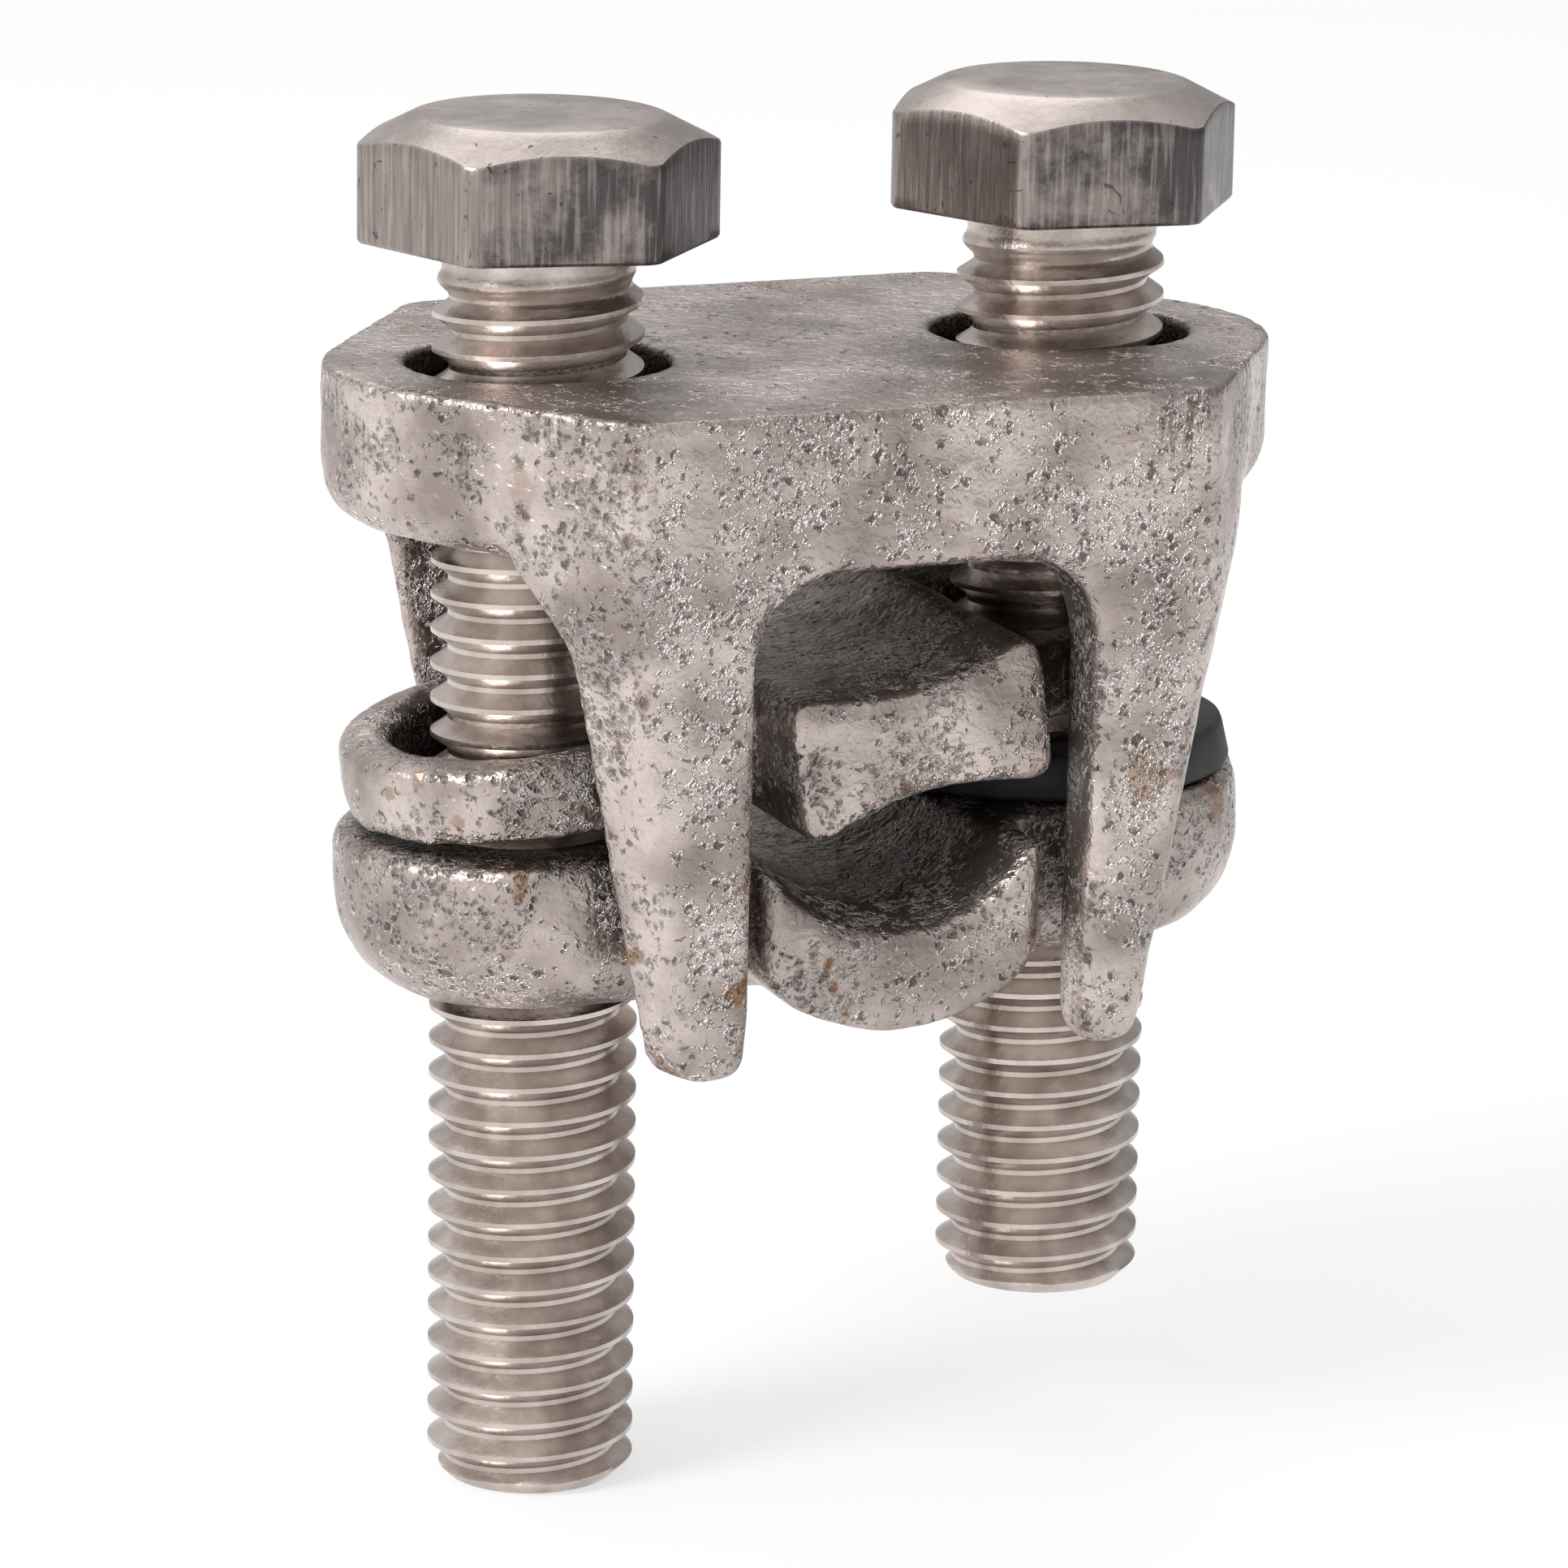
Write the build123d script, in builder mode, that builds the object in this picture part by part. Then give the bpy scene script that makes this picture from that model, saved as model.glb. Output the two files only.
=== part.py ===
from build123d import *

import math
import os

# Parallel groove clamp: three castings drawn together by two hex bolts, with one cable run
# gripped above the spacer and one below it.
# Frame: +Z up along the bolts, +X from the left bolt to the right bolt, the cables run
# along Y. The origin is level with the tip of the longer bolt, midway between the bolts.
# All sizes are in millimetres.

# bolts: 3/8-16 hex head screws, 2-1/4 and 2 inches long, threaded to the head
bolt_spacing = 25.4
left_x = -bolt_spacing / 2
right_x = bolt_spacing / 2
thread_pitch = 1.5875
thread_crest_r = 4.72
thread_root_r = 3.95
left_bolt_length = 57.15
right_bolt_length = 50.8
right_bolt_tip_z = 6.75
tip_chamfer = 0.8
neck_length = 1.2
neck_r = 4.3
head_across_flats = 14.29
head_height = 5.65
head_top_r = 5.6
head_bevel_deg = 27.0
head_bevel_run = 4.0
left_head_turn_deg = -11.6
right_head_turn_deg = -6.7

# yoke: a plate with a lobe round each bolt, and four tapered legs
plate_top_z = 51.8
plate_bottom_z = 44.6
plate_bottom_fillet = 2.4
plate_lobe_r = 9.6
plate_corner_x = 14.3
plate_corner_y = 15.3
bolt_slot_length = 11.9
bolt_slot_width = 10.4
leg_bottom_z = 21.8
leg_tip_inner_x = 8.0
leg_tip_front_x = 10.6
leg_tip_back_x = 11.9
leg_tip_front_y = 14.4
leg_root_inner_x = 8.0
leg_root_front_x = 14.2
leg_root_back_x = 16.5
leg_root_front_y = 15.3
leg_back_y = 11.4
arch_corner_r = 3.8
arch_web_x = 13.4
arch_web_height = 5.0
leg_knee_z = 41.0
leg_flare_x = 17.7
leg_flare_y = 9.4

# keeper: the tapped bar under the lower cable
keeper_top_z = 30.9
keeper_bottom_z = 23.3
keeper_lobe_r = 8.9
keeper_block_x = 7.0
keeper_block_y = 13.4
keeper_groove_r = 7.05
keeper_groove_floor_z = 28.0
keeper_mouth_drop = 0.7
keeper_mouth_depth = 4.0
keeper_bore_r = thread_crest_r + 0.07
keeper_bottom_fillet = 4.4
keeper_block_side_z = 26.2
keeper_belly_z = 22.8
keeper_block_corner_r = 1.6
keeper_tilt_deg = 1.5
keeper_rise = 0.3

# rubber washer on the right bolt, lying on the keeper
washer_bottom_r = 8.4
washer_top_r = 8.1
washer_hole_r = 5.05
washer_thickness = 2.15

# spacer: a double-grooved bar with a ring round the left bolt and a fork at the right bolt
spacer_tilt_deg = 8.5
spacer_x = 0.6
spacer_z = 36.35
spacer_half_x = 6.2
spacer_half_y = 13.35
spacer_top_left_z = 3.55
spacer_top_right_z = 4.15
spacer_bottom_left_z = -4.25
spacer_bottom_right_z = -3.6
spacer_waist_half_z = 2.4
spacer_corner_r = 1.0
ear_thickness = 3.6
ear_offset = -0.3
ring_r = 8.85
ring_hole_r = 6.4
fork_half_y = 8.7
fork_slot_half_y = 5.6
fork_reach = 16.2

os.makedirs("parts", exist_ok=True)


# Hex bolts, standing on their tips, the threads cut as rings.
def hex_bolt(x, tip_z, bolt_length, turn_deg):
    axis_plane = Plane(origin=(x, 0, tip_z), x_dir=(1, 0, 0), z_dir=(0, -1, 0))
    bolt_axis = Axis((x, 0, 0), (0, 0, 1))
    groove_half = thread_pitch * 7 / 16
    root_half = thread_pitch / 8
    first_z = bolt_length - neck_length - thread_pitch / 2
    groove_count = int((first_z - tip_chamfer) / thread_pitch) + 1
    head_top_z = bolt_length + head_height
    bevel_drop = head_bevel_run * math.tan(math.radians(head_bevel_deg))
    with BuildPart() as bolt:
        with BuildSketch(axis_plane):
            with BuildLine():
                Polyline(
                    (0, 0),
                    (thread_crest_r - tip_chamfer, 0),
                    (thread_crest_r, tip_chamfer),
                    (thread_crest_r, bolt_length - neck_length),
                    (neck_r, bolt_length - neck_length + 0.3),
                    (neck_r, bolt_length + 0.5),
                    (0, bolt_length + 0.5),
                    close=True,
                )
            make_face()
        revolve(axis=bolt_axis)
        with BuildSketch(axis_plane):
            for turn in range(groove_count):
                z = first_z - turn * thread_pitch
                with BuildLine():
                    Polyline(
                        (thread_crest_r + 0.2, z + groove_half),
                        (thread_crest_r, z + groove_half),
                        (thread_root_r, z + root_half),
                        (thread_root_r, z - root_half),
                        (thread_crest_r, z - groove_half),
                        (thread_crest_r + 0.2, z - groove_half),
                        close=True,
                    )
                make_face()
        revolve(axis=bolt_axis, mode=Mode.SUBTRACT)
        with BuildSketch(Plane((x, 0, tip_z + bolt_length))):
            RegularPolygon(head_across_flats / 2, 6, major_radius=False, rotation=turn_deg)
        extrude(amount=head_height)
        with BuildSketch(axis_plane):
            with BuildLine():
                Polyline(
                    (head_top_r, head_top_z + 0.5),
                    (head_top_r, head_top_z),
                    (head_top_r + head_bevel_run, head_top_z - bevel_drop),
                    (head_top_r + head_bevel_run, head_top_z + 0.5),
                    close=True,
                )
            make_face()
        revolve(axis=bolt_axis, mode=Mode.SUBTRACT)
    return bolt


bolt_left = hex_bolt(left_x, 0, left_bolt_length, left_head_turn_deg)
bolt_left.part.label = "bolt_left"
export_step(bolt_left.part, "parts/bolt_left.step")

bolt_right = hex_bolt(right_x, right_bolt_tip_z, right_bolt_length, right_head_turn_deg)
bolt_right.part.label = "bolt_right"
export_step(bolt_right.part, "parts/bolt_right.step")


# Yoke: plate and four tapered legs, whose outer back corners flare into the plate.
def leg_section(inner_x, front_x, back_x, front_y, back_y):
    Polyline(
        (inner_x, -front_y),
        (front_x, -front_y),
        (back_x, -back_y),
        (inner_x, -back_y),
        close=True,
    )


def plate_outline():
    with Locations((left_x, 0), (right_x, 0)):
        Circle(plate_lobe_r)
    RectangleRounded(2 * plate_corner_x, 2 * plate_corner_y, 1.6)
    make_hull()


# envelope of the front and back faces of the legs, which lean in towards their tips
with BuildPart() as leg_envelope:
    with BuildSketch(Plane.XY.offset(leg_bottom_z)):
        Rectangle(4 * plate_corner_x, 2 * leg_tip_front_y)
    with BuildSketch(Plane.XY.offset(plate_bottom_z)):
        Rectangle(4 * plate_corner_x, 2 * leg_root_front_y)
    loft()
    with BuildSketch(Plane.XY.offset(plate_bottom_z)):
        Rectangle(4 * plate_corner_x, 2 * leg_root_front_y)
    extrude(amount=5)

# front and back webs over the arch, with its rounded corners
with BuildPart() as arch_webs:
    with BuildSketch(Plane.XZ.offset(leg_back_y)):
        with Locations((0, plate_bottom_z)):
            Rectangle(2 * arch_web_x, 2 * arch_web_height)
        with Locations((0, plate_bottom_z - 10)):
            RectangleRounded(2 * leg_root_inner_x, 20, arch_corner_r, mode=Mode.SUBTRACT)
    extrude(amount=leg_root_front_y - leg_back_y + 1)
    mirror(about=Plane.XZ)
    add(leg_envelope.part, mode=Mode.INTERSECT)

with BuildPart() as plate_prism:
    with BuildSketch(Plane.XY.offset(leg_bottom_z)):
        plate_outline()
    extrude(amount=plate_top_z - leg_bottom_z)

with BuildPart() as yoke_plate:
    with BuildSketch(Plane.XY.offset(plate_bottom_z)):
        plate_outline()
    extrude(amount=plate_top_z - plate_bottom_z)
    fillet(yoke_plate.edges().group_by(Axis.Z)[0], plate_bottom_fillet)

# share of the way up the leg at which its flare starts
knee_share = (leg_knee_z - leg_bottom_z) / (plate_bottom_z - leg_bottom_z)
knee_inner_x = leg_tip_inner_x + knee_share * (leg_root_inner_x - leg_tip_inner_x)
knee_front_x = leg_tip_front_x + knee_share * (leg_root_front_x - leg_tip_front_x)
knee_back_x = leg_tip_back_x + knee_share * (leg_root_back_x - leg_tip_back_x)
knee_front_y = leg_tip_front_y + knee_share * (leg_root_front_y - leg_tip_front_y)

with BuildPart() as yoke:
    with BuildSketch(Plane.XY.offset(leg_bottom_z)):
        with BuildLine():
            leg_section(leg_tip_inner_x, leg_tip_front_x, leg_tip_back_x, leg_tip_front_y, leg_back_y)
        make_face()
    with BuildSketch(Plane.XY.offset(leg_knee_z)):
        with BuildLine():
            leg_section(knee_inner_x, knee_front_x, knee_back_x, knee_front_y, leg_back_y)
        make_face()
    loft()
    fillet(yoke.edges().group_by(Axis.Z)[0], 0.9)
    with BuildSketch(Plane.XY.offset(leg_knee_z)):
        with BuildLine():
            leg_section(knee_inner_x, knee_front_x, knee_back_x, knee_front_y, leg_back_y)
        make_face()
    with BuildSketch(Plane.XY.offset(plate_bottom_z)):
        with BuildLine():
            leg_section(leg_root_inner_x, leg_root_front_x, leg_flare_x, leg_root_front_y, leg_flare_y)
        make_face()
    loft()
    with BuildSketch(Plane.XY.offset(plate_bottom_z)):
        with BuildLine():
            leg_section(leg_root_inner_x, leg_root_front_x, leg_flare_x, leg_root_front_y, leg_flare_y)
        make_face()
    extrude(amount=plate_top_z - plate_bottom_z - 1)
    mirror(about=Plane.YZ)
    mirror(about=Plane.XZ)
    add(arch_webs.part)
    add(plate_prism.part, mode=Mode.INTERSECT)
    add(yoke_plate.part)
    with BuildSketch(Plane.XY.offset(plate_bottom_z - 1)):
        with Locations((left_x, 0), (right_x, 0)):
            SlotOverall(bolt_slot_length, bolt_slot_width)
    extrude(amount=plate_top_z - plate_bottom_z + 2, mode=Mode.SUBTRACT)
yoke.part.label = "yoke"
export_step(yoke.part, "parts/yoke.step")


# Keeper: bar with two round lobes and a crosswise block, grooved on top along Y. It hangs a
# little askew on its threads, right side up, while its tapped holes stay upright.
keeper_tilt = math.radians(keeper_tilt_deg)
keeper_x_dir = (math.cos(keeper_tilt), 0, math.sin(keeper_tilt))
keeper_z_dir = (-math.sin(keeper_tilt), 0, math.cos(keeper_tilt))
keeper_height = keeper_top_z - keeper_bottom_z
keeper_origin = Vector(0, 0, keeper_bottom_z + keeper_rise)
keeper_base = Plane(origin=keeper_origin, x_dir=keeper_x_dir, z_dir=keeper_z_dir)
keeper_top_point = keeper_origin + Vector(keeper_z_dir) * keeper_height
keeper_groove_z = keeper_groove_floor_z + keeper_groove_r - keeper_bottom_z


def keeper_section(y):
    return Plane(origin=keeper_origin + Vector(0, y, 0), x_dir=keeper_x_dir, z_dir=(0, -1, 0))


with BuildPart() as keeper_bar:
    with BuildSketch(keeper_base):
        SlotCenterToCenter(bolt_spacing, 2 * keeper_lobe_r)
    extrude(amount=keeper_height)
    fillet(keeper_bar.faces().sort_by(Axis.Z)[0].edges(), keeper_bottom_fillet)

with BuildPart() as keeper:
    with BuildSketch(keeper_section(keeper_block_y)):
        with BuildLine():
            Polyline(
                (keeper_block_x, keeper_block_side_z - keeper_bottom_z),
                (keeper_block_x, keeper_height),
                (-keeper_block_x, keeper_height),
                (-keeper_block_x, keeper_block_side_z - keeper_bottom_z),
            )
            ThreePointArc(
                (-keeper_block_x, keeper_block_side_z - keeper_bottom_z),
                (0, keeper_belly_z - keeper_bottom_z),
                (keeper_block_x, keeper_block_side_z - keeper_bottom_z),
            )
        make_face()
    extrude(amount=2 * keeper_block_y)
    fillet(keeper.edges().filter_by(Axis(keeper_origin, Vector(keeper_z_dir))), keeper_block_corner_r)
    add(keeper_bar.part)
    with BuildSketch(keeper_section(keeper_block_y + 1)):
        with Locations((0, keeper_groove_z)):
            Circle(keeper_groove_r)
    extrude(amount=2 * keeper_block_y + 2, mode=Mode.SUBTRACT)
    for face_y in (-keeper_block_y, keeper_block_y):
        with BuildSketch(keeper_section(face_y)):
            with Locations((0, keeper_groove_z)):
                Circle(keeper_groove_r + keeper_mouth_drop)
        with BuildSketch(keeper_section(face_y - math.copysign(keeper_mouth_depth, face_y))):
            with Locations((0, keeper_groove_z)):
                Circle(keeper_groove_r)
        loft(mode=Mode.SUBTRACT)
    with BuildSketch(Plane.XY.offset(keeper_bottom_z - 2)):
        with Locations((left_x, 0), (right_x, 0)):
            Circle(keeper_bore_r)
    extrude(amount=keeper_height + 4, mode=Mode.SUBTRACT)
keeper.part.label = "keeper"
export_step(keeper.part, "parts/keeper.step")


# Rubber washer: slightly tapered ring lying on the keeper's right lobe.
washer_reach = right_x + keeper_height * math.sin(keeper_tilt)
washer_foot = keeper_top_point + Vector(keeper_x_dir) * washer_reach
with BuildPart() as rubber_washer:
    with BuildSketch(Plane(origin=washer_foot, x_dir=keeper_x_dir, z_dir=(0, -1, 0))):
        with BuildLine():
            Polyline(
                (washer_hole_r, 0),
                (washer_bottom_r, 0),
                (washer_top_r, washer_thickness),
                (washer_hole_r, washer_thickness),
                close=True,
            )
        make_face()
    revolve(axis=Axis(washer_foot, Vector(keeper_z_dir)))
rubber_washer.part.label = "rubber_washer"
export_step(rubber_washer.part, "parts/rubber_washer.step")


# Spacer: leans on the washer, so it lies tilted, its ring end down on the keeper.
tilt = math.radians(spacer_tilt_deg)
tilt_x = (math.cos(tilt), 0, math.sin(tilt))
tilt_z = (-math.sin(tilt), 0, math.cos(tilt))
spacer_origin = Vector(spacer_x, 0, spacer_z)
profile_plane = Plane(origin=spacer_origin + Vector(0, spacer_half_y, 0), x_dir=tilt_x, z_dir=(0, -1, 0))
ear_drop = ear_thickness / 2 - ear_offset
ear_plane = Plane(origin=spacer_origin - Vector(tilt_z) * ear_drop, x_dir=tilt_x, z_dir=tilt_z)
ring_local_x = (left_x - spacer_x) / math.cos(tilt)
fork_local_x = (fork_reach - spacer_x) / math.cos(tilt)
with BuildPart() as spacer:
    with BuildSketch(profile_plane) as bowtie:
        with BuildLine():
            ThreePointArc(
                (-spacer_half_x, spacer_top_left_z),
                (0, spacer_waist_half_z),
                (spacer_half_x, spacer_top_right_z),
            )
            Line((spacer_half_x, spacer_top_right_z), (spacer_half_x, spacer_bottom_right_z))
            ThreePointArc(
                (spacer_half_x, spacer_bottom_right_z),
                (0, -spacer_waist_half_z),
                (-spacer_half_x, spacer_bottom_left_z),
            )
            Line((-spacer_half_x, spacer_bottom_left_z), (-spacer_half_x, spacer_top_left_z))
        make_face()
        fillet(bowtie.vertices(), spacer_corner_r)
    extrude(amount=2 * spacer_half_y)
    with BuildSketch(ear_plane):
        with Locations((ring_local_x, 0)):
            Circle(ring_r)
        with Locations((ring_local_x / 2, 0)):
            Rectangle(-ring_local_x, 2 * ring_r)
        with Locations((fork_local_x / 2, 0)):
            Rectangle(fork_local_x, 2 * fork_half_y)
        with Locations((ring_local_x, 0)):
            Circle(ring_hole_r, mode=Mode.SUBTRACT)
        with Locations((fork_local_x, 0)):
            Rectangle(2 * (fork_local_x - spacer_half_x), 2 * fork_slot_half_y, mode=Mode.SUBTRACT)
    extrude(amount=ear_thickness)
spacer.part.label = "spacer"
export_step(spacer.part, "parts/spacer.step")
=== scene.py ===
import bpy
import bmesh
import math
import numpy as np
from mathutils import Vector, Matrix, noise


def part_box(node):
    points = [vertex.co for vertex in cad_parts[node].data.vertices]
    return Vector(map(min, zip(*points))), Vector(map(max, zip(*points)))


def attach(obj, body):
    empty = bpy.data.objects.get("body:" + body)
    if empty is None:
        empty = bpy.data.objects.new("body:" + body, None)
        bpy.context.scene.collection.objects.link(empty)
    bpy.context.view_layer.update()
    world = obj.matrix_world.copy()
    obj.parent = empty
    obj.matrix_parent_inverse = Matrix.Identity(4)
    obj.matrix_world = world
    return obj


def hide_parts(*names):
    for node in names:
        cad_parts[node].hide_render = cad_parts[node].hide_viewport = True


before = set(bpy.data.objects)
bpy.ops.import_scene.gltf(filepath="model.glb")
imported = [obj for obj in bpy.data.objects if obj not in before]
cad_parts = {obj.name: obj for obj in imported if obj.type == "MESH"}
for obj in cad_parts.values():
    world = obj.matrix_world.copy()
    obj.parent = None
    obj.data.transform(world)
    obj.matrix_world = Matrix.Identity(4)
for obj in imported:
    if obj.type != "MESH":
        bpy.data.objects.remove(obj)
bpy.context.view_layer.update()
mm = 0.001

scene = bpy.context.scene
scene.view_settings.view_transform = "Standard"

cameraSetup = {
    "azimuth": -22.8,          # degrees round the clamp, 0 looks along +Y
    "elevation": 14.3,
    "roll": -0.957,
    "target": (-0.54, 0.0, 31.36),   # mm
    "distance": 323.0,         # mm
    "lens": 162.4,
}


def makeCamera():
    s = cameraSetup
    az, el, roll = (math.radians(s[k]) for k in ("azimuth", "elevation", "roll"))
    back = Vector((math.sin(az) * math.cos(el), -math.cos(az) * math.cos(el), math.sin(el)))
    right = (-back).cross(Vector((0, 0, 1))).normalized()
    down = (-back).cross(right)
    right, down = (math.cos(roll) * right + math.sin(roll) * down,
                   math.cos(roll) * down - math.sin(roll) * right)
    turn = Matrix((right, -down, back)).transposed()
    camera = bpy.data.objects.new("camera", bpy.data.cameras.new("camera"))
    camera.matrix_world = Matrix.Translation((Vector(s["target"]) + back * s["distance"]) * mm) @ turn.to_4x4()
    camera.data.sensor_width = 36
    camera.data.lens = s["lens"]
    camera.data.clip_start = 0.01
    camera.data.clip_end = 20
    scene.collection.objects.link(camera)
    scene.camera = camera


makeCamera()
print("camera placed")


def linear(hexColor):
    # sRGB hex to the linear values that shaders use
    steps = [int(hexColor[i:i + 2], 16) / 255 for i in (0, 2, 4)]
    return (*(c / 12.92 if c <= 0.04045 else ((c + 0.055) / 1.055) ** 2.4 for c in steps), 1)


def addNode(tree, kind, inputs=(), out=0, stops=(), **settings):
    # inputs: a list in socket order, or socket to value; a value is a number, a hex colour or an output
    node = tree.nodes.new(kind)
    for name, value in settings.items():
        setattr(node, name, value)
    for extra in stops[2:]:
        node.color_ramp.elements.new(0.5)
    for n, (place, value) in enumerate(stops):
        node.color_ramp.elements[n].position = place
        node.color_ramp.elements[n].color = linear(value) if isinstance(value, str) else (value, value, value, 1)
    for socket, value in inputs.items() if isinstance(inputs, dict) else enumerate(inputs):
        if isinstance(value, bpy.types.NodeSocket):
            tree.links.new(value, node.inputs[socket])
        else:
            node.inputs[socket].default_value = linear(value) if isinstance(value, str) else value
    return node.outputs[out] if len(node.outputs) else node


def newMaterial(name):
    material = bpy.data.materials.new(name)
    material.use_nodes = True
    material.node_tree.nodes.clear()
    return material, material.node_tree


castLook = {
    "light": "d2c5bf", "mid": "b4a7a1", "dark": "968a84",   # the tin skin, thick to thin
    # the near-white is a painted glint on the pit lips; the dark brown and the darkest brown are painted shade in the
    # pits and hollows
    "paintedGlint": "fffaf5", "pit": "43362e", "mark": "6e625b", "bronze": "8f6c4e", "paintedHollowShade": "2b2018",
    "cloudMm": 5.0,       # patches where the tin ran thicker or thinner
    "clusterMm": 4.0,     # where the pits gather
    "pitMm": 0.62,        # spacing of the pits left by the mould sand
    "speckMm": 0.34,
    "bendMm": 0.5, "crinkleMm": 0.6,
    "grainMm": 0.2,       # grain of the tin, drawn coarser than the real one so that it shows
    "streakMm": 0.4,      # file marks under the top rim
    "blotch": (-0.0075, -0.0153, 0.0485),   # one rougher place on the yoke's front, metres
}


def makeCastMaterial():
    # bronze sand casting, hot-dip tinned: satin grey-pink skin, gathered pits with painted shade on their floors and
    # painted glints on their lips, brown bronze where it is chipped or worn, painted shade in the hollows and creases
    s = castLook
    material, tree = newMaterial("tinnedBronzeCasting")
    place = addNode(tree, "ShaderNodeTexCoord", out="Object")
    upward = addNode(tree, "ShaderNodeSeparateXYZ", [addNode(tree, "ShaderNodeTexCoord", out="Normal")], out=2)
    level = addNode(tree, "ShaderNodeMath", [addNode(tree, "ShaderNodeSeparateXYZ", [place], out=2), 20.0],
                    operation="MULTIPLY")          # 1 at 50 mm
    pointy = addNode(tree, "ShaderNodeNewGeometry", out="Pointiness")
    patch = addNode(tree, "ShaderNodeTexNoise", {"Vector": place, "Scale": 1000 / s["cloudMm"], "Detail": 4.0})
    gather = addNode(tree, "ShaderNodeTexNoise", {"Vector": place, "Scale": 1000 / s["clusterMm"], "Detail": 3.0,
                                                  "Roughness": 0.6})
    crinkle = addNode(tree, "ShaderNodeTexNoise", {"Vector": place, "Scale": 1000 / s["crinkleMm"], "Detail": 3.0,
                                                   "Distortion": 1.0})
    grain = addNode(tree, "ShaderNodeTexNoise", {"Vector": place, "Scale": 1000 / s["grainMm"], "Detail": 2.0})
    far = addNode(tree, "ShaderNodeVectorMath", [place, s["blotch"]], out="Value", operation="DISTANCE")
    near = addNode(tree, "ShaderNodeValToRGB", [addNode(tree, "ShaderNodeMath", [far, 100.0], operation="MULTIPLY")],
                   stops=[(0.18, 0.42), (0.42, 0.0)])
    topFace = addNode(tree, "ShaderNodeMath", [
        addNode(tree, "ShaderNodeValToRGB", [upward], stops=[(0.8, 0.0), (0.95, 1.0)]),
        addNode(tree, "ShaderNodeMath", [level, 1.016], operation="GREATER_THAN")], operation="MULTIPLY")
    share = addNode(tree, "ShaderNodeMath", [
        addNode(tree, "ShaderNodeValToRGB", [gather], stops=[(0.42, 0.06), (0.60, 0.78)]), near], operation="ADD")
    share = addNode(tree, "ShaderNodeMath", [share, addNode(tree, "ShaderNodeMath", [topFace, -0.55, 1.0],
                                                            operation="MULTIPLY_ADD")], operation="MULTIPLY")
    # pits: round cells bent out of round, of which only a share are open
    bent = addNode(tree, "ShaderNodeVectorMath", [
        addNode(tree, "ShaderNodeTexNoise", {"Vector": place, "Scale": 1000 / s["bendMm"], "Detail": 3.0}, out="Color"),
        (0.0011, 0.0011, 0.0011), place], operation="MULTIPLY_ADD")
    pits, lips = [], []
    for size, depth in ((s["pitMm"], 1.0), (s["speckMm"], 0.7)):
        cell = addNode(tree, "ShaderNodeTexVoronoi", {"Vector": bent, "Scale": 1000 / size}, out="Distance")
        chance = addNode(tree, "ShaderNodeSeparateColor", [cell.node.outputs["Color"]])
        opened = addNode(tree, "ShaderNodeMath", [
            addNode(tree, "ShaderNodeMath", [chance, share], operation="LESS_THAN"), depth], operation="MULTIPLY")
        pits.append(addNode(tree, "ShaderNodeMath", [
            addNode(tree, "ShaderNodeValToRGB", [cell], stops=[(0.14, 1.0), (0.40, 0.0)]), opened],
            operation="MULTIPLY"))
        lips.append(addNode(tree, "ShaderNodeMath", [
            addNode(tree, "ShaderNodeValToRGB", [cell], stops=[(0.34, 0.0), (0.44, 1.0), (0.56, 0.0)]), opened],
            operation="MULTIPLY"))
    pit = addNode(tree, "ShaderNodeMath", pits, operation="MAXIMUM")
    lip = addNode(tree, "ShaderNodeMath", lips, operation="MAXIMUM")
    tone = addNode(tree, "ShaderNodeValToRGB", [patch], stops=[(0.36, s["dark"]), (0.48, s["mid"]), (0.62, s["light"])])
    # file marks run down from the cut top rim
    combed = addNode(tree, "ShaderNodeMapping", {"Vector": place, "Scale": (1, 1, 0.05)})
    streak = addNode(tree, "ShaderNodeTexNoise", {"Vector": combed, "Scale": 1000 / s["streakMm"], "Detail": 2.0})
    rim = addNode(tree, "ShaderNodeMath", [
        addNode(tree, "ShaderNodeValToRGB", [level], stops=[(0.94, 0.0), (0.985, 1.0)]),
        addNode(tree, "ShaderNodeValToRGB", [gather], stops=[(0.46, 0.0), (0.58, 1.0)])], operation="MULTIPLY")
    rim = addNode(tree, "ShaderNodeMath", [rim, topFace], operation="SUBTRACT", use_clamp=True)
    filed = addNode(tree, "ShaderNodeMath", [
        addNode(tree, "ShaderNodeValToRGB", [streak], stops=[(0.42, 1.0), (0.5, 0.0)]), rim], operation="MULTIPLY")
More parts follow.
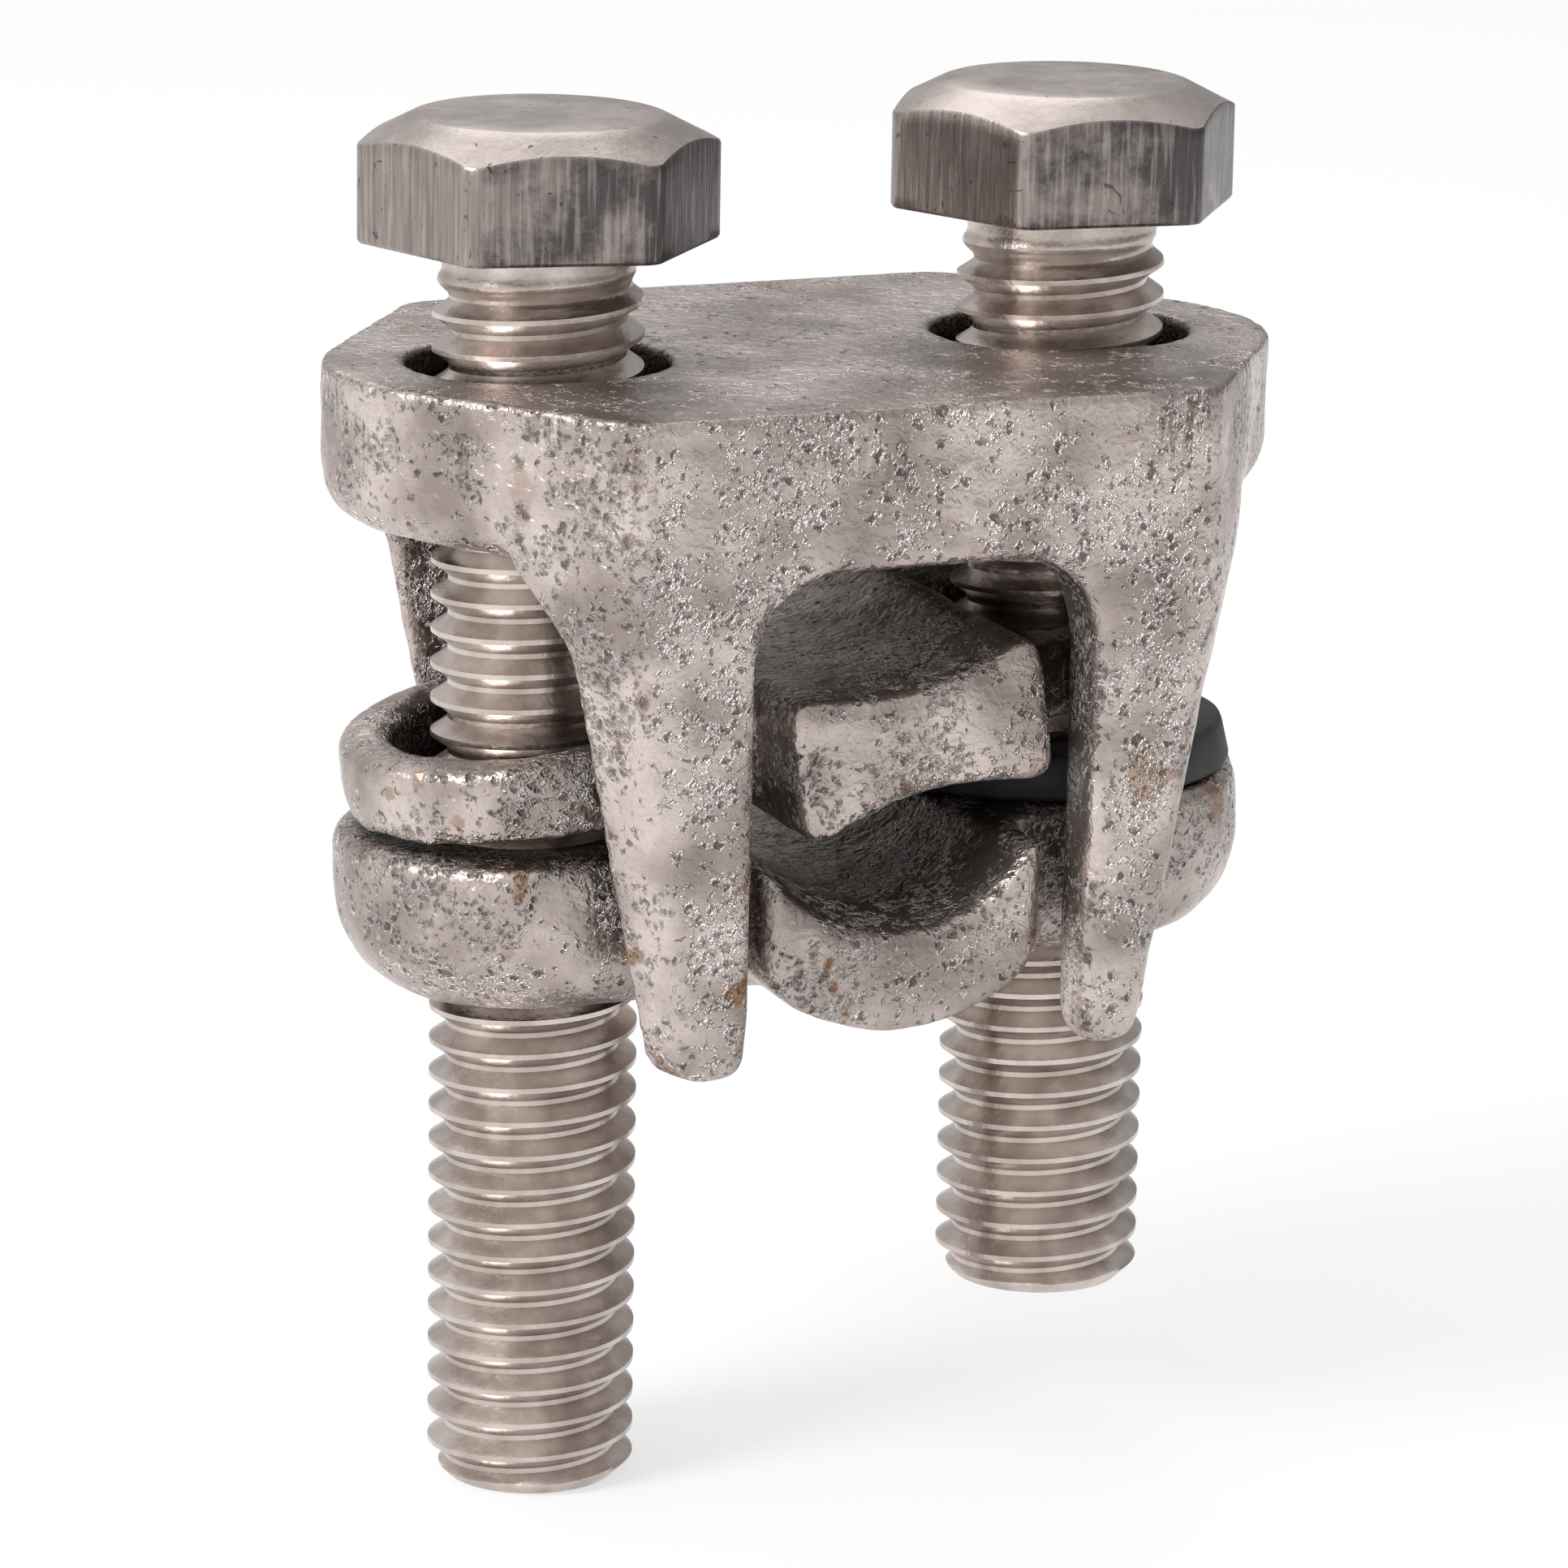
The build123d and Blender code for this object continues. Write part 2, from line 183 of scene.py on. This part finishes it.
    # bronze shows on sharp edges and in a few chips, more of them low down
    worn = addNode(tree, "ShaderNodeMath", [
        addNode(tree, "ShaderNodeValToRGB", [pointy], stops=[(0.525, 0.0), (0.58, 0.55)]),
        addNode(tree, "ShaderNodeValToRGB", [patch], stops=[(0.47, 0.0), (0.56, 1.0)])], operation="MULTIPLY")
    chip = addNode(tree, "ShaderNodeTexNoise", {"Vector": place, "Scale": 1000 / 3.0, "Detail": 4.0, "Distortion": 0.6})
    chip = addNode(tree, "ShaderNodeMath", [
        addNode(tree, "ShaderNodeValToRGB", [chip], stops=[(0.63, 0.0), (0.66, 0.85)]),
        addNode(tree, "ShaderNodeValToRGB", [level], stops=[(0.5, 1.0), (0.8, 0.3)])], operation="MULTIPLY")
    worn = addNode(tree, "ShaderNodeMath", [worn, chip], operation="MAXIMUM")
    shade = addNode(tree, "ShaderNodeAmbientOcclusion", {"Distance": 0.009}, out="AO", samples=8)
    for amount, color in (
            (addNode(tree, "ShaderNodeValToRGB", [grain], stops=[(0.4, 0.16), (0.6, 0.0)]), s["dark"]),
            # painted shade: dark brown on the floors of the open pits
            (addNode(tree, "ShaderNodeMath", [pit, 0.7], operation="MULTIPLY"), s["pit"]),
            # painted glint: near-white on the lips of the open pits
            (addNode(tree, "ShaderNodeMath", [lip, 0.75], operation="MULTIPLY"), s["paintedGlint"]),
            (addNode(tree, "ShaderNodeMath", [filed, 0.5], operation="MULTIPLY"), s["mark"]),
            (worn, s["bronze"]),
            # painted shade: darkest brown in creases, from pointiness, and in recesses, from occlusion
            (addNode(tree, "ShaderNodeValToRGB", [pointy], stops=[(0.42, 0.5), (0.49, 0.0)]), s["paintedHollowShade"]),
            (addNode(tree, "ShaderNodeValToRGB", [shade], stops=[(0.15, 0.9), (0.6, 0.0)]), s["paintedHollowShade"])):
        tone = addNode(tree, "ShaderNodeMix", {0: amount, 6: tone, 7: color}, out=2, data_type="RGBA")
    # skin: pits go in, lips stand up, a faint crinkle everywhere
    height = addNode(tree, "ShaderNodeMath", [crinkle, 0.4], operation="MULTIPLY")
    for part, amount in ((pit, -1.0), (lip, 0.6), (grain, 0.06), (streak, 0.12)):
        height = addNode(tree, "ShaderNodeMath", [part, amount, height], operation="MULTIPLY_ADD")
    bump = addNode(tree, "ShaderNodeBump", {"Strength": 1.0, "Distance": 0.0003, "Height": height})
    rough = addNode(tree, "ShaderNodeMath", [patch, -0.25, 0.43], operation="MULTIPLY_ADD")
    rough = addNode(tree, "ShaderNodeMath", [pit, 0.2, rough], operation="MULTIPLY_ADD")
    shader = addNode(tree, "ShaderNodeBsdfPrincipled", {"Base Color": tone, "Metallic": 0.92, "Roughness": rough,
                                                        "Normal": bump})
    addNode(tree, "ShaderNodeOutputMaterial", [shader])
    return material


headLook = {
    # the mid grey-brown is painted shade on the upright flats; the blue-black is a painted dark reflection broken up by
    # stain
    "light": "c2b7b1", "flatPaintedShade": "8f8580", "bright": "d8cfc9", "scratch": "3c3735", "stainAndDarkReflection": "2c2c33",
    "drawMm": 0.2,        # upright lines drawn by the die
    "stainMm": 3.4, "nickMm": 0.9,
    "darkReflectionSide": (0.62, -0.55, -0.25),   # the flats that take the painted dark reflection
}


def makeHeadMaterial():
    # stainless steel, cold headed: satin, fine upright draw lines on the flats, painted shade on the flats, dark
    # patches that are a painted dark reflection broken up by stain
    s = headLook
    material, tree = newMaterial("coldHeadedStainlessSteel")
    place = addNode(tree, "ShaderNodeTexCoord", out="Object")
    normal = addNode(tree, "ShaderNodeTexCoord", out="Normal")
    upward = addNode(tree, "ShaderNodeSeparateXYZ", [normal], out=2)
    upright = addNode(tree, "ShaderNodeValToRGB", [upward], stops=[(0.2, 1.0), (0.6, 0.0)])
    combed = addNode(tree, "ShaderNodeMapping", {"Vector": place, "Scale": (1, 1, 0.06)})
    lines = addNode(tree, "ShaderNodeTexNoise", {"Vector": combed, "Scale": 1000 / s["drawMm"], "Detail": 2.0})
    cloud = addNode(tree, "ShaderNodeTexNoise", {"Vector": place, "Scale": 1000 / s["stainMm"], "Detail": 7.0,
                                                 "Roughness": 0.7})
    nick = addNode(tree, "ShaderNodeTexNoise", {"Vector": place, "Scale": 1000 / s["nickMm"], "Detail": 3.0,
                                                "Distortion": 2.0})
    tone = addNode(tree, "ShaderNodeValToRGB", [cloud], stops=[(0.42, "ada29c"), (0.6, s["light"])])
    side = addNode(tree, "ShaderNodeVectorMath", [normal, s["darkReflectionSide"]], out="Value", operation="DOT_PRODUCT")
    stainAndReflection = addNode(tree, "ShaderNodeMath", [side, 0.32, cloud], operation="MULTIPLY_ADD")
    for part, color in (
            # painted shade: the upright flats darker than the top
            (addNode(tree, "ShaderNodeMath", [upright, 0.85], operation="MULTIPLY"), s["flatPaintedShade"]),
            # painted dark reflection on the flats facing front and right, broken up by the stain cloud
            (addNode(tree, "ShaderNodeMath", [
                addNode(tree, "ShaderNodeValToRGB", [stainAndReflection], stops=[(0.54, 0.0), (0.70, 0.72)]), upright],
                operation="MULTIPLY"), s["stainAndDarkReflection"]),
            (addNode(tree, "ShaderNodeMath", [
                addNode(tree, "ShaderNodeValToRGB", [lines], stops=[(0.52, 0.0), (0.66, 0.22)]), upright],
                operation="MULTIPLY"), s["bright"]),
            (addNode(tree, "ShaderNodeMath", [
                addNode(tree, "ShaderNodeValToRGB", [lines], stops=[(0.34, 0.28), (0.47, 0.0)]), upright],
                operation="MULTIPLY"), s["scratch"]),
            (addNode(tree, "ShaderNodeValToRGB", [nick], stops=[(0.68, 0.0), (0.71, 0.7)]), s["scratch"])):
        tone = addNode(tree, "ShaderNodeMix", {0: part, 6: tone, 7: color}, out=2, data_type="RGBA")
    height = addNode(tree, "ShaderNodeMath", [lines, addNode(tree, "ShaderNodeMath", [upright, 0.4],
                                                            operation="MULTIPLY")], operation="MULTIPLY")
    height = addNode(tree, "ShaderNodeMath", [cloud, 1.2, height], operation="MULTIPLY_ADD")
    bump = addNode(tree, "ShaderNodeBump", {"Strength": 0.5, "Distance": 0.0001, "Height": height})
    rough = addNode(tree, "ShaderNodeMath", [cloud, 0.25, 0.20], operation="MULTIPLY_ADD")
    shader = addNode(tree, "ShaderNodeBsdfPrincipled", {"Base Color": tone, "Metallic": 1.0, "Roughness": rough,
                                                        "Normal": bump})
    addNode(tree, "ShaderNodeOutputMaterial", [shader])
    return material


# the brown is painted shade in the thread roots, the near-white a painted highlight on the crests
threadLook = {"thin": "b6aaa3", "clean": "d3c9c2", "rootShade": "86776d", "crestHighlight": "ebe3dc", "filmMm": 2.2, "rubMm": 0.3}


def makeThreadMaterial():
    # stainless steel, rolled thread: burnished smooth, painted brown shade in the roots, painted highlight on the
    # crests
    s = threadLook
    material, tree = newMaterial("rolledThreadStainlessSteel")
    place = addNode(tree, "ShaderNodeTexCoord", out="Object")
    pointy = addNode(tree, "ShaderNodeNewGeometry", out="Pointiness")
    film = addNode(tree, "ShaderNodeTexNoise", {"Vector": place, "Scale": 1000 / s["filmMm"], "Detail": 4.0})
    rub = addNode(tree, "ShaderNodeTexNoise", {"Vector": place, "Scale": 1000 / s["rubMm"], "Detail": 2.0})
    tone = addNode(tree, "ShaderNodeValToRGB", [film], stops=[(0.38, s["thin"]), (0.62, s["clean"])])
    # painted shade in the concave roots and painted highlight on the convex crests, from pointiness
    for part, color in ((addNode(tree, "ShaderNodeValToRGB", [pointy], stops=[(0.40, 0.4), (0.5, 0.0)]), s["rootShade"]),
                        (addNode(tree, "ShaderNodeValToRGB", [pointy], stops=[(0.53, 0.0), (0.62, 0.4)]), s["crestHighlight"])):
        tone = addNode(tree, "ShaderNodeMix", {0: part, 6: tone, 7: color}, out=2, data_type="RGBA")
    height = addNode(tree, "ShaderNodeMath", [film, rub], operation="ADD")
    bump = addNode(tree, "ShaderNodeBump", {"Strength": 0.4, "Distance": 0.00006, "Height": height})
    rough = addNode(tree, "ShaderNodeMath", [rub, 0.16, 0.22], operation="MULTIPLY_ADD")
    shader = addNode(tree, "ShaderNodeBsdfPrincipled", {"Base Color": tone, "Metallic": 1.0, "Roughness": rough,
                                                        "Normal": bump})
    addNode(tree, "ShaderNodeOutputMaterial", [shader])
    return material


rubberLook = {"clean": "1c1a1c", "dusty": "343133", "dustMm": 1.5}


def makeRubberMaterial():
    # moulded black rubber: matt, faintly dusty
    s = rubberLook
    material, tree = newMaterial("mouldedBlackRubber")
    place = addNode(tree, "ShaderNodeTexCoord", out="Object")
    dust = addNode(tree, "ShaderNodeTexNoise", {"Vector": place, "Scale": 1000 / s["dustMm"], "Detail": 4.0})
    tone = addNode(tree, "ShaderNodeValToRGB", [dust], stops=[(0.4, s["clean"]), (0.7, s["dusty"])])
    bump = addNode(tree, "ShaderNodeBump", {"Strength": 0.3, "Distance": 0.0001, "Height": dust})
    shader = addNode(tree, "ShaderNodeBsdfPrincipled", {"Base Color": tone, "Roughness": 0.62, "Normal": bump})
    addNode(tree, "ShaderNodeOutputMaterial", [shader])
    return material


castMaterial = makeCastMaterial()
headMaterial = makeHeadMaterial()
threadMaterial = makeThreadMaterial()
rubberMaterial = makeRubberMaterial()
print("materials made")


# castings: a fine skin drawn over the solid, its edges melted, its surface lumpy
castShape = {
    "voxelMm": 0.25,
    "yokePasses": 44, "spacerPasses": 34, "keeperPasses": 36,   # more passes, rounder edges
    "lumps": [(7.0, 0.10), (2.2, 0.06), (0.9, 0.035)],   # size and height of the swells, mm
}


def settle(piece):
    # swap the piece's mesh for what its modifiers give
    graph = bpy.context.evaluated_depsgraph_get()
    mesh = bpy.data.meshes.new_from_object(piece.evaluated_get(graph))
    piece.modifiers.clear()
    old = piece.data
    piece.data = mesh
    bpy.data.meshes.remove(old)


def meltEdges(piece, passes, keep):
    # passes of smoothing, weaker where keep(x, y, z in mm) is near 1
    mesh = piece.data
    count = len(mesh.vertices)
    co = np.zeros(count * 3)
    mesh.vertices.foreach_get("co", co)
    co = co.reshape(-1, 3)
    edges = np.zeros(len(mesh.edges) * 2, int)
    mesh.edges.foreach_get("vertices", edges)
    edges = edges.reshape(-1, 2)
    degree = np.bincount(edges.ravel(), minlength=count)[:, None]
    weight = (1 - keep(*(co.T / mm)))[:, None]
    for step in range(passes):
        # two-step smoothing keeps the volume
        for strength in (0.62, -0.28):
            total = np.zeros_like(co)
            for axis in range(3):
                total[:, axis] = (np.bincount(edges[:, 0], co[edges[:, 1], axis], count)
                                  + np.bincount(edges[:, 1], co[edges[:, 0], axis], count))
            co = co + strength * weight * (total / degree - co)
    mesh.vertices.foreach_set("co", co.ravel())
    mesh.update()


def roughenSkin(piece, swells, seed, keep, low, high):
    mesh = piece.data
    offset = Vector((seed * 3.7, seed * 1.9, seed * 2.3))
    count = len(mesh.vertices)
    co, normal = np.zeros(count * 3), np.zeros(count * 3)
    mesh.vertices.foreach_get("co", co)
    mesh.vertex_normals.foreach_get("vector", normal)
    co, normal = co.reshape(-1, 3), normal.reshape(-1, 3)
    push = np.zeros(count)
    for size, height in swells:
        push += [height * noise.noise(Vector(p) / size + offset) for p in co / mm]
    push *= 1 - 0.8 * keep(*(co.T / mm))
    co = np.clip(co + normal * push[:, None] * mm, low, high)   # never outside the solid's own box
    mesh.vertices.foreach_set("co", co.ravel())
    mesh.update()


def makeCasting(name, node, body, passes, seed, keep):
    piece = bpy.data.objects.new(name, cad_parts[node].data.copy())
    scene.collection.objects.link(piece)
    piece.data.materials.clear()
    skin = piece.modifiers.new("skin", "REMESH")
    skin.mode = "VOXEL"
    skin.voxel_size = castShape["voxelMm"] * mm
    settle(piece)
    meltEdges(piece, passes, keep)
    roughenSkin(piece, castShape["lumps"], seed, keep, *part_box(node))
    piece.data.polygons.foreach_set("use_smooth", [True] * len(piece.data.polygons))
    piece.data.materials.append(castMaterial)
    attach(piece, body)
    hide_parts(node)
    print(name, len(piece.data.polygons), "faces")


def keepTopRim(x, y, z):
    # the yoke's top face was cut flat, so its rim stays crisp
    return np.clip((z - 50.6) / 0.8, 0, 1) * 0.85


def keepNothing(x, y, z):
    return 0.0 * z


makeCasting("yokeCasting", "yoke", "yoke", castShape["yokePasses"], 1, keepTopRim)
makeCasting("spacerCasting", "spacer", "spacer", castShape["spacerPasses"], 2, keepNothing)
makeCasting("keeperCasting", "keeper", "keeper", castShape["keeperPasses"], 3, keepNothing)


# bolts with a true helical thread
boltShape = {
    "pitch": 1.5875, "crestRadius": 4.72, "rootRadius": 3.95,
    "neckRadius": 4.3, "neckLength": 1.0, "tipChamfer": 0.8,
    "acrossFlats": 14.29, "headHeight": 5.65, "topRadius": 5.6, "bevelDegrees": 27.0,
    "segments": 72,
    "rootWidth": 0.17, "crestStart": 0.86, "flankBow": 0.06,   # thread profile, 0 at the root to 1 at the crest
    "cornerCut": 0.16,   # mm off each corner of the hexagon
    "left": {"centerX": -12.7, "tipZ": 0.0, "length": 57.15, "turnDegrees": -11.6},
    "right": {"centerX": 12.7, "tipZ": 6.75, "length": 50.8, "turnDegrees": -6.7},
}


def threadRadius(u):
    # one pitch of rolled thread: rounded root, straight flanks, narrow flat crest
    s = boltShape
    t = abs((u % 1.0) - 0.5) * 2          # 0 at the root centre, 1 at the crest centre
    rise = min(max((t - s["rootWidth"]) / (s["crestStart"] - s["rootWidth"]), 0), 1)
    rise -= s["flankBow"] * math.sin(math.pi * rise) * (1 - rise)
    return s["rootRadius"] + (s["crestRadius"] - s["rootRadius"]) * rise


def threadShank(bm, centerX, tipZ, length):
    s = boltShape
    rows = 14
    pitch, around = s["pitch"], s["segments"]
    turns = int(length / pitch) + 3
    rings = []
    for i in range(around):
        angle = 2 * math.pi * i / around
        column = []
        for m in range(turns * rows + 1):
            u = m / rows
            z = pitch * (u - 1.5) + pitch * i / around
            r = threadRadius(u)
            low = s["crestRadius"] - s["tipChamfer"]
            r = min(r, low + max(z, 0))
            fade = min(max((length - s["neckLength"] - z) / 1.6, 0), 1)
            r = s["neckRadius"] + (r - s["neckRadius"]) * fade
            z = min(max(z, 0), length + 0.1) + tipZ
            column.append(bm.verts.new(((centerX + r * math.cos(angle)) * mm, r * math.sin(angle) * mm, z * mm)))
        rings.append(column)
    last = turns * rows
    for i in range(around):
        for m in range(last):
            j = i + 1
            a, b = rings[i][m], rings[i][m + 1]
            if j < around:
                c, d = rings[j][m + 1], rings[j][m]
            elif m + 1 + rows <= last:
                c, d = rings[0][m + 1 + rows], rings[0][m + rows]
            else:
                continue
            bm.faces.new((a, d, c, b))
    bmesh.ops.remove_doubles(bm, verts=bm.verts, dist=0.002 * mm)
    loose = [f for f in bm.faces if f.calc_area() < 1e-14]
    bmesh.ops.delete(bm, geom=loose, context="FACES_ONLY")
    bmesh.ops.holes_fill(bm, edges=[e for e in bm.edges if e.is_boundary], sides=0)


def hexRadius(angle, flats):
    # hexagon with slightly rounded corners
    t = (angle + math.pi / 6) % (math.pi / 3) - math.pi / 6
    corner = flats / 2 / math.cos(math.pi / 6) - boltShape["cornerCut"]
    return min(flats / 2 / math.cos(t), corner)


def hexHead(bm, centerX, base, turnDegrees):
    s = boltShape
    top = base + s["headHeight"]
    slope = math.tan(math.radians(s["bevelDegrees"]))
    around = 144
    columns = []
    for i in range(around):
        angle = 2 * math.pi * i / around
        wide = hexRadius(angle, s["acrossFlats"])
        edge = top - slope * (wide - s["topRadius"])
        profile = [(0.0, base), (wide * 0.6, base), (wide - 0.35, base), (wide - 0.1, base + 0.03), (wide, base + 0.18)]
        for k in range(1, 9):
            profile.append((wide, base + 0.18 + (edge - 0.12 - base - 0.18) * k / 8))
        profile.append((wide - 0.05, edge))
        for k in range(1, 5):
            r = wide - 0.12 + (s["topRadius"] + 0.1 - wide + 0.12) * k / 4
            profile.append((r, top - slope * max(r - s["topRadius"], 0) - 0.03))
        profile += [(s["topRadius"] - 0.15, top), (s["topRadius"] * 0.6, top - 0.03), (0.0, top - 0.05)]
        a = angle + math.radians(turnDegrees + 30)
        columns.append([((centerX + r * math.cos(a)) * mm, r * math.sin(a) * mm, z * mm) for r, z in profile])
    rows = len(columns[0])
    low = bm.verts.new(columns[0][0])
    high = bm.verts.new(columns[0][-1])
    grid = [[bm.verts.new(p) for p in column[1:-1]] for column in columns]
    for i in range(around):
        a, b = grid[i], grid[(i + 1) % around]
        bm.faces.new((low, b[0], a[0]))
        bm.faces.new((high, a[-1], b[-1]))
        for k in range(rows - 3):
            bm.faces.new((a[k], b[k], b[k + 1], a[k + 1]))


def makeBolt(name, node, body, centerX, tipZ, length, turnDegrees):
    shank = bmesh.new()
    threadShank(shank, centerX, tipZ, length)
    hexHead(shank, centerX, tipZ + length, turnDegrees)
    for f in shank.faces:
        f.material_index = int(f.calc_center_median().z < (tipZ + length - 0.01) * mm)   # 1 below the head
    bmesh.ops.recalc_face_normals(shank, faces=shank.faces)
    for e in shank.edges:
        if len(e.link_faces) == 2 and e.calc_face_angle(0) > math.radians(32):
            e.smooth = False
    for f in shank.faces:
        f.smooth = True
    mesh = bpy.data.meshes.new(name)
    shank.to_mesh(mesh)
    shank.free()
    mesh.materials.append(headMaterial)
    mesh.materials.append(threadMaterial)
    bolt = bpy.data.objects.new(name, mesh)
    scene.collection.objects.link(bolt)
    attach(bolt, body)
    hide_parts(node)
    print(name, len(mesh.polygons), "faces")


makeBolt("leftBolt", "bolt_left", "bolt_left", **boltShape["left"])
makeBolt("rightBolt", "bolt_right", "bolt_right", **boltShape["right"])


washerShape = {"outer": 8.4, "outerTop": 8.1, "hole": 5.05, "thick": 2.15, "round": 0.35, "tiltDegrees": 1.5}


def makeWasher():
    s = washerShape
    low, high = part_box("rubber_washer")
    middle = (low + high) / 2 / mm
    tilt = Matrix.Rotation(-math.radians(s["tiltDegrees"]), 3, "Y")
    t, c = s["thick"], s["round"]
    profile = [(s["hole"], c), (s["hole"] + c * 0.3, c * 0.3), (s["hole"] + c, 0), (s["outer"] - c, 0),
               (s["outer"] - c * 0.3, c * 0.3), (s["outer"], c), (s["outerTop"], t - c),
               (s["outerTop"] - c * 0.3, t - c * 0.3), (s["outerTop"] - c, t), (s["hole"] + c, t),
               (s["hole"] + c * 0.3, t - c * 0.3), (s["hole"], t - c)]
    around = 96
    verts, faces = [], []
    for i in range(around):
        a = 2 * math.pi * i / around
        wobble = 0.05 * math.sin(3 * a + 1) - 0.05
        for r, z in profile:
            r = r + wobble if r > 7 else r
            verts.append((middle + tilt @ Vector((r * math.cos(a), r * math.sin(a), z - s["thick"] / 2))) * mm)
    n = len(profile)
    for i in range(around):
        for k in range(n):
            a, b = i * n + k, i * n + (k + 1) % n
            c2, d = ((i + 1) % around) * n + (k + 1) % n, ((i + 1) % around) * n + k
            faces.append((a, d, c2, b))
    mesh = bpy.data.meshes.new("rubberWasher")
    mesh.from_pydata(verts, [], faces)
    bm = bmesh.new()
    bm.from_mesh(mesh)
    bmesh.ops.recalc_face_normals(bm, faces=bm.faces)
    bm.to_mesh(mesh)
    bm.free()
    mesh.polygons.foreach_set("use_smooth", [True] * len(mesh.polygons))
    mesh.materials.append(rubberMaterial)
    washer = bpy.data.objects.new("rubberWasher", mesh)
    scene.collection.objects.link(washer)
    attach(washer, "keeper")
    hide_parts("rubber_washer")


makeWasher()
print("washer made")


studio = {
    "floorSize": 2.4, "floorColor": "fbfbfc", "floorLift": 0.6,
    "worldDark": 0.34, "worldMid": 0.62, "worldBright": 0.98, "brightFrom": (-0.72, -0.12, 0.68),
    "keyPlace": (-0.42, -0.10, 0.34), "keySize": 0.22, "keyWatts": 1.8,       # metres
    "fillPlace": (0.10, 0.35, 0.45), "fillSize": 0.3, "fillWatts": 0.35,
}


def makeFloor():
    # white paper: its own colour, lifted towards white where it is looked at
    h = studio["floorSize"] / 2
    mesh = bpy.data.meshes.new("floor")
    mesh.from_pydata([(-h, -h, 0), (h, -h, 0), (h, h, 0), (-h, h, 0)], [], [(0, 1, 2, 3)])
    floor = bpy.data.objects.new("floor", mesh)
    floor.location.z = -0.00002
    scene.collection.objects.link(floor)
    material, tree = newMaterial("whitePaper")
    paper = addNode(tree, "ShaderNodeBsdfPrincipled", {"Base Color": studio["floorColor"], "Roughness": 0.9})
    glow = addNode(tree, "ShaderNodeEmission", {"Color": "ffffff", "Strength": 1.0})
    rays = tree.nodes.new("ShaderNodeLightPath").outputs
    seen = addNode(tree, "ShaderNodeMath", [rays["Is Glossy Ray"], rays["Is Transmission Ray"]], operation="MAXIMUM")
    seen = addNode(tree, "ShaderNodeMath", [rays["Is Camera Ray"], seen], operation="MAXIMUM")
    lift = addNode(tree, "ShaderNodeMath", [seen, studio["floorLift"]], operation="MULTIPLY")
    addNode(tree, "ShaderNodeOutputMaterial", [addNode(tree, "ShaderNodeMixShader", [lift, paper, glow])])
    mesh.materials.append(material)


def makeWorld():
    # one broad soft light from the upper left, falling off to a dimmer room at the right
    world = bpy.data.worlds.new("studio")
    scene.world = world
    world.use_nodes = True
    tree = world.node_tree
    tree.nodes.clear()
    direction = addNode(tree, "ShaderNodeTexCoord", out="Generated")
    along = addNode(tree, "ShaderNodeVectorMath", [direction, Vector(studio["brightFrom"]).normalized()], out="Value",
                    operation="DOT_PRODUCT")
    level = addNode(tree, "ShaderNodeMath", [along, 0.5, 0.5], operation="MULTIPLY_ADD")
    strength = addNode(tree, "ShaderNodeValToRGB", [level],
                       stops=[(0.25, studio["worldDark"]), (0.5, studio["worldMid"]), (0.9, 1.0)])
    strength = addNode(tree, "ShaderNodeMath", [strength, studio["worldBright"]], operation="MULTIPLY")
    addNode(tree, "ShaderNodeOutputWorld", [addNode(tree, "ShaderNodeBackground", ["ffffff", strength])])


def makeLamp(name, place, size, watts, target=(0, 0, 0.03)):
    lamp = bpy.data.lights.new(name, "AREA")
    lamp.shape = "DISK"
    lamp.size = size
    lamp.energy = watts
    holder = bpy.data.objects.new(name, lamp)
    holder.location = place
    holder.rotation_mode = "QUATERNION"
    holder.rotation_quaternion = (Vector(place) - Vector(target)).to_track_quat("Z", "Y")
    scene.collection.objects.link(holder)


makeFloor()
makeWorld()
makeLamp("keyLamp", studio["keyPlace"], studio["keySize"], studio["keyWatts"])
makeLamp("fillLamp", studio["fillPlace"], studio["fillSize"], studio["fillWatts"])
print("studio made")
